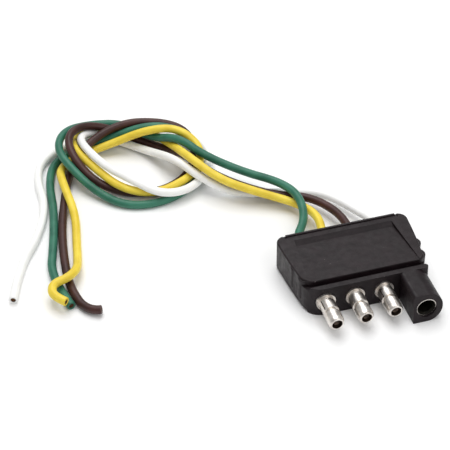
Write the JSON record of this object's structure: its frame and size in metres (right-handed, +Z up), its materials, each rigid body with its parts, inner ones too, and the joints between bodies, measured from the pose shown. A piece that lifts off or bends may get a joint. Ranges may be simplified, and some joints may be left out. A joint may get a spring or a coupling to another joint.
{
  "type": "trailer wiring connector",
  "caption": "Flat trailer wiring connector: bare bullet pins and one shrouded socket in a moulded vinyl block, with loose coloured wires tied in an overhand knot.",
  "frame": {"origin": "centre of the housing's flat underside, midway between the second and the third contact", "axes": "+X across the contacts towards the socket, -Y along the contacts out of the nose, +Y the way the wires leave, +Z up out of the recessed panel"},
  "size_m": [0.1423, 0.1376, 0.0132],
  "materials": {
    "housing_vinyl": "soft moulded vinyl, fine grain, slight sheen",
    "carrier_vinyl": "moulded vinyl, slightly smoother than the housing",
    "contact_metal": "tin plated brass, satin, turned",
    "jacket_green": "extruded vinyl, soft sheen",
    "jacket_yellow": "extruded vinyl, soft sheen",
    "jacket_brown": "extruded vinyl, soft sheen",
    "jacket_white": "extruded vinyl, soft sheen",
    "conductor_copper": "bare copper strands, cut end"
  },
  "bodies": {
    "root": {"housing": "housing_vinyl", "terminal_carrier": "carrier_vinyl", "pin_green": "contact_metal", "pin_yellow": "contact_metal", "pin_brown": "contact_metal", "socket_white": "contact_metal", "jacket_green": "jacket_green", "jacket_yellow": "jacket_yellow", "jacket_brown": "jacket_brown", "jacket_white": "jacket_white", "conductor_green": "conductor_copper", "conductor_yellow": "conductor_copper", "conductor_brown": "conductor_copper", "conductor_white": "conductor_copper"}
  },
  "joints": []
}
